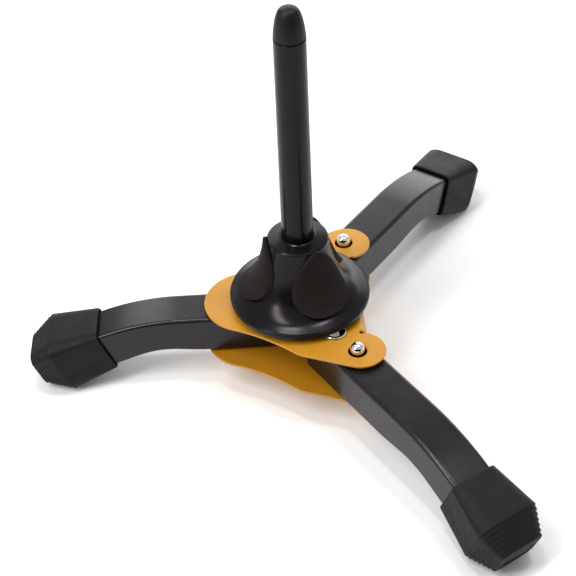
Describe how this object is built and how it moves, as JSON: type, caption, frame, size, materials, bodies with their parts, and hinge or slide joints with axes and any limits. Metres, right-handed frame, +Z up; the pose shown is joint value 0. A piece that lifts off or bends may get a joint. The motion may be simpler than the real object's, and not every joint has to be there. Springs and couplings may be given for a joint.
{
  "type": "folding trumpet stand",
  "caption": "Folding tabletop instrument stand: upright peg on a flared hub, folded metal bracket, one fixed leg, swinging legs with spring lock buttons and rubber feet.",
  "frame": {"origin": "middle of the box around the whole stand, on the ground plane under the feet", "axes": "+Z up along the peg; -X along the fixed leg; +Y from the front swinging leg to the back one"},
  "size_m": [0.251, 0.303, 0.2107],
  "materials": {
    "gold_paint": "satin goldenrod paint",
    "black_coat": "satin black powder coat",
    "black_plastic": "satin moulded plastic",
    "rest_rubber": "matte, faintly brown",
    "foot_rubber": "matte",
    "tip_rubber": "matte",
    "bright_plate": "polished",
    "steel": "plain",
    "nylon": "plain"
  },
  "bodies": {
    "stand": {"bracket": "gold_paint", "hub": "black_plastic", "peg_tube": "black_plastic", "peg_tip": "tip_rubber", "centre_bolt": "steel", "centre_washer": "steel", "peg_nut": "steel", "centre_upper_spacer": "nylon", "centre_lower_spacer": "nylon", "fixed_leg_tube": "black_coat", "fixed_leg_foot": "foot_rubber", "fixed_leg_rivet": "steel", "bell_rest_1": "rest_rubber", "bell_rest_2": "rest_rubber", "bell_rest_3": "rest_rubber", "front_pivot_rivet": "bright_plate", "front_upper_washer": "nylon", "front_lower_washer": "nylon", "back_pivot_rivet": "bright_plate", "back_upper_washer": "nylon", "back_lower_washer": "nylon"},
    "front_leg": {"front_leg_tube": "black_coat", "front_leg_foot": "foot_rubber", "front_pivot_sleeve": "steel"},
    "front_button": {"front_lock_clip": "bright_plate"},
    "back_leg": {"back_leg_tube": "black_coat", "back_leg_foot": "foot_rubber", "back_pivot_sleeve": "steel"},
    "back_button": {"back_lock_clip": "bright_plate"}
  },
  "joints": [
    {"name": "front_leg_swing", "type": "hinge", "parent": "stand", "child": "front_leg", "pos_m": [0.03021, -0.02455, 0.0302], "axis": [0, 0, 1], "range_deg": [-119.5, 0]},
    {"name": "back_leg_swing", "type": "hinge", "parent": "stand", "child": "back_leg", "pos_m": [0.03021, 0.03081, 0.0302], "axis": [0, 0, 1], "range_deg": [0, 124.5]},
    {"name": "front_button_press", "type": "slide", "parent": "front_leg", "child": "front_button", "axis": [0, 0, 1], "range_m": [-0.0072, 0], "stiffness_N_per_m": 700, "springref_m": 0.004, "deforming": ["front_lock_clip"]},
    {"name": "back_button_press", "type": "slide", "parent": "back_leg", "child": "back_button", "axis": [0, 0, 1], "range_m": [-0.0072, 0], "stiffness_N_per_m": 700, "springref_m": 0.004, "deforming": ["back_lock_clip"]}
  ]
}
